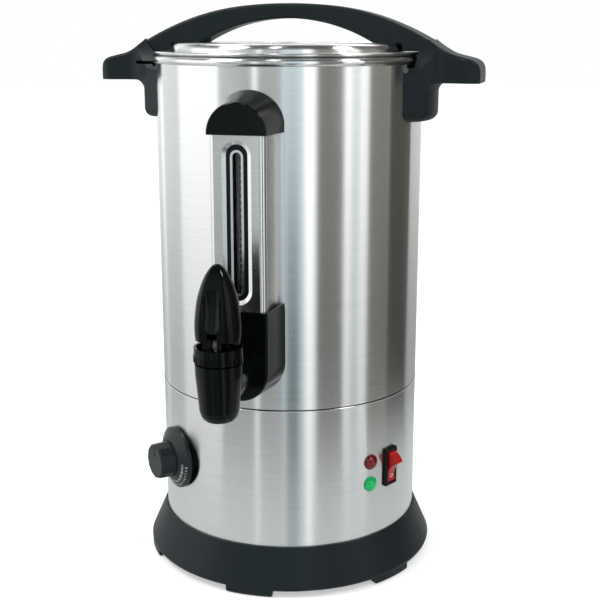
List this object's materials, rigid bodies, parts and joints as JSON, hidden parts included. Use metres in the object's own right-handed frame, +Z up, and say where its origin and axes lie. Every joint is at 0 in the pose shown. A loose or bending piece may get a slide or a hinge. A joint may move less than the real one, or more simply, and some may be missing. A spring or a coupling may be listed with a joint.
{
  "type": "hot water urn",
  "caption": "Electric hot water urn: brushed steel tank with lift-off lid, side handles, sight gauge, lever tap, thermostat dial, pilot lamps and rocker switch.",
  "frame": {"origin": "on the axis of the tank at the level that the feet stand on", "axes": "+Z up along the axis of the tank, tap towards -Y, side handles along X, mains inlet towards +Y"},
  "size_m": [0.3028, 0.3104, 0.4432],
  "materials": {
    "steel_brushed": "brushed",
    "steel_plain": "satin",
    "black_satin": "satin",
    "black_knob": "satin",
    "black_gloss": "gloss",
    "black_inlet": "satin",
    "bright_trim": "polished",
    "scale_bars": "satin",
    "clear_tube": "clear",
    "silicone": "matte",
    "white_plastic": "satin",
    "spring_steel": "satin",
    "red_lens": "clear",
    "green_lens": "clear",
    "red_rocker": "gloss",
    "heat_aluminium": "satin",
    "element_steel": "satin",
    "brass": "satin",
    "copper_bulb": "satin",
    "wire_brown": "satin",
    "wire_blue": "satin"
  },
  "bodies": {
    "urn": {"tank": "steel_brushed", "lower_housing": "steel_brushed", "gauge_cover": "steel_brushed", "bottom_cover": "steel_plain", "cover_screw_1": "steel_plain", "cover_screw_2": "steel_plain", "cover_screw_3": "steel_plain", "handle_screw_left_1": "steel_plain", "handle_screw_left_2": "steel_plain", "handle_screw_right_1": "steel_plain", "handle_screw_right_2": "steel_plain", "inlet_screw_1": "steel_plain", "inlet_screw_2": "steel_plain", "tap_nut": "steel_plain", "boil_dry_cutout": "steel_plain", "base_ring": "black_satin", "side_handle_left": "black_satin", "side_handle_right": "black_satin", "gauge_cap": "black_gloss", "tap_shroud": "black_gloss", "tap_body": "black_gloss", "tap_collar": "black_gloss", "mains_inlet": "black_inlet", "switch_housing": "black_inlet", "gauge_window": "black_inlet", "gauge_trim": "bright_trim", "gauge_scale": "scale_bars", "gauge_tube": "clear_tube", "gauge_seal_lower": "silicone", "gauge_seal_upper": "silicone", "tap_seal_outer": "silicone", "tap_seal_inner": "silicone", "terminal_block": "white_plastic", "thermostat_body": "white_plastic", "lamp_body_red": "white_plastic", "lamp_body_green": "white_plastic", "valve_spring": "spring_steel", "lamp_lens_red": "red_lens", "lamp_lens_green": "green_lens", "heat_plate": "heat_aluminium", "heating_element": "element_steel", "inlet_pin_line": "brass", "inlet_pin_neutral": "brass", "inlet_pin_earth": "brass", "thermostat_bulb": "copper_bulb", "wire_line_in": "wire_brown", "wire_switch": "wire_brown", "wire_neutral_in": "wire_blue", "wire_element": "wire_blue"},
    "lid": {"lid_pan": "steel_brushed", "lid_handle": "black_satin", "lid_screw_1": "steel_plain", "lid_screw_2": "steel_plain"},
    "knob": {"dial_knob": "black_knob", "thermostat_shaft": "steel_plain"},
    "rocker": {"switch_rocker": "red_rocker"},
    "valve": {"valve_stem": "white_plastic", "seat_cup": "silicone"},
    "lever": {"tap_lever": "black_gloss", "lever_pin": "steel_plain"}
  },
  "joints": [
    {"name": "lid_lift", "type": "slide", "parent": "urn", "child": "lid", "axis": [0, 0, 1], "range_m": [0, 0.12]},
    {"name": "knob_turn", "type": "hinge", "parent": "urn", "child": "knob", "pos_m": [-0.07039, -0.07655, 0.0915], "axis": [-0.6769, -0.7361, 0], "range_deg": [-270, 0]},
    {"name": "rocker_tilt", "type": "hinge", "parent": "urn", "child": "rocker", "pos_m": [0.09211, -0.04334, 0.0888], "axis": [0.4258, 0.9048, 0], "range_deg": [-24, 0]},
    {"name": "stem_lift", "type": "slide", "parent": "urn", "child": "valve", "axis": [0, 0, 1], "range_m": [0, 0.00401], "deforming": ["valve_spring"]},
    {"name": "lever_tilt", "type": "hinge", "parent": "valve", "child": "lever", "pos_m": [0, -0.1755, 0.216], "axis": [1, 0, 0], "range_deg": [0, 40], "stiffness_Nm_per_rad": 0.2, "springref_deg": -17.19}
  ],
  "couplings": [
    {"joint": "stem_lift", "follows": "lever_tilt", "m_per_rad": 0.0057296}
  ]
}
